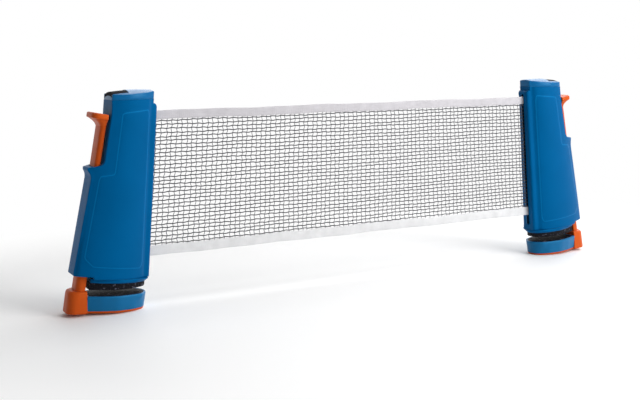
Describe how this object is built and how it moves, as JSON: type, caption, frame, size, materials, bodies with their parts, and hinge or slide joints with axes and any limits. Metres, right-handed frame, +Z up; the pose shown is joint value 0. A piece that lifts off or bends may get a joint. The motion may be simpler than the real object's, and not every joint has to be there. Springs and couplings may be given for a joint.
{
  "type": "table tennis net clamp",
  "caption": "Retractable table tennis net between squeeze-lever clamp posts, with sprung jaws, blue housings and orange sliders.",
  "frame": {"origin": "centre of the bounding box's underside, on the floor midway between the two posts", "axes": "+X along the net from the left post to the right one, -Y towards the viewer, +Z up"},
  "size_m": [0.6578, 0.044, 0.216],
  "materials": {
    "blue_plastic": "satin moulded, glossy cap",
    "jaw_blue_plastic": "satin moulded",
    "orange_plastic": "satin moulded",
    "black_rubber": "pebbled",
    "black_plastic": "moulded",
    "black_gloss": "smooth",
    "steel": "zinc plated",
    "spring_steel": "drawn wire and strip",
    "net_cord": "knitted nylon mesh",
    "hem_tape": "woven tape"
  },
  "bodies": {
    "left_post": {"left_front_shell": "blue_plastic", "left_rear_shell": "blue_plastic", "left_top_cap": "blue_plastic", "left_cap_inlay": "black_gloss", "left_shell_screws": "steel", "left_upper_jaw": "blue_plastic", "left_upper_jaw_pad": "black_rubber", "left_clamp_spring": "spring_steel", "left_spring_rod": "spring_steel", "reel_axle": "steel", "drive_spring_cup": "black_plastic", "drive_spring": "spring_steel", "net_mesh": "net_cord", "net_top_hem": "hem_tape", "net_bottom_hem": "hem_tape"},
    "left_clamp": {"left_slider": "orange_plastic", "left_lower_jaw": "jaw_blue_plastic", "left_lower_jaw_pad": "black_rubber", "left_jaw_screws": "steel"},
    "reel": {"reel_tube": "black_plastic", "reel_lower_hub": "black_plastic", "reel_upper_hub": "black_plastic", "wound_net": "net_cord"},
    "right_post": {"right_front_shell": "blue_plastic", "right_rear_shell": "blue_plastic", "right_top_cap": "blue_plastic", "right_cap_inlay": "black_gloss", "right_shell_screws": "steel", "right_upper_jaw": "blue_plastic", "right_upper_jaw_pad": "black_rubber", "right_clamp_spring": "spring_steel", "right_spring_rod": "spring_steel", "net_anchor_rod": "steel", "net_end_sleeve": "hem_tape"},
    "right_clamp": {"right_slider": "orange_plastic", "right_lower_jaw": "jaw_blue_plastic", "right_lower_jaw_pad": "black_rubber", "right_jaw_screws": "steel"}
  },
  "joints": [
    {"name": "left_clamp_slide", "type": "slide", "parent": "left_post", "child": "left_clamp", "axis": [-0.1925, 0, -0.9813], "range_m": [0, 0.035], "stiffness_N_per_m": 300, "springref_m": -0.03, "deforming": ["left_clamp_spring"]},
    {"name": "net_pull", "type": "slide", "parent": "left_post", "child": "right_post", "axis": [1, 0, 0], "range_m": [-0.45, 1.1], "deforming": ["net_mesh", "net_top_hem", "net_bottom_hem"]},
    {"name": "right_clamp_slide", "type": "slide", "parent": "right_post", "child": "right_clamp", "axis": [0.1925, 0, -0.9813], "range_m": [0, 0.035], "stiffness_N_per_m": 300, "springref_m": -0.03, "deforming": ["right_clamp_spring"]},
    {"name": "net_reel", "type": "hinge", "parent": "left_post", "child": "reel", "pos_m": [-0.2617, 0, 0.10154], "axis": [0.0872, 0, 0.9962], "continuous": true}
  ],
  "couplings": [
    {"joint": "net_reel", "follows": "net_pull", "rad_per_m": 108.7}
  ]
}
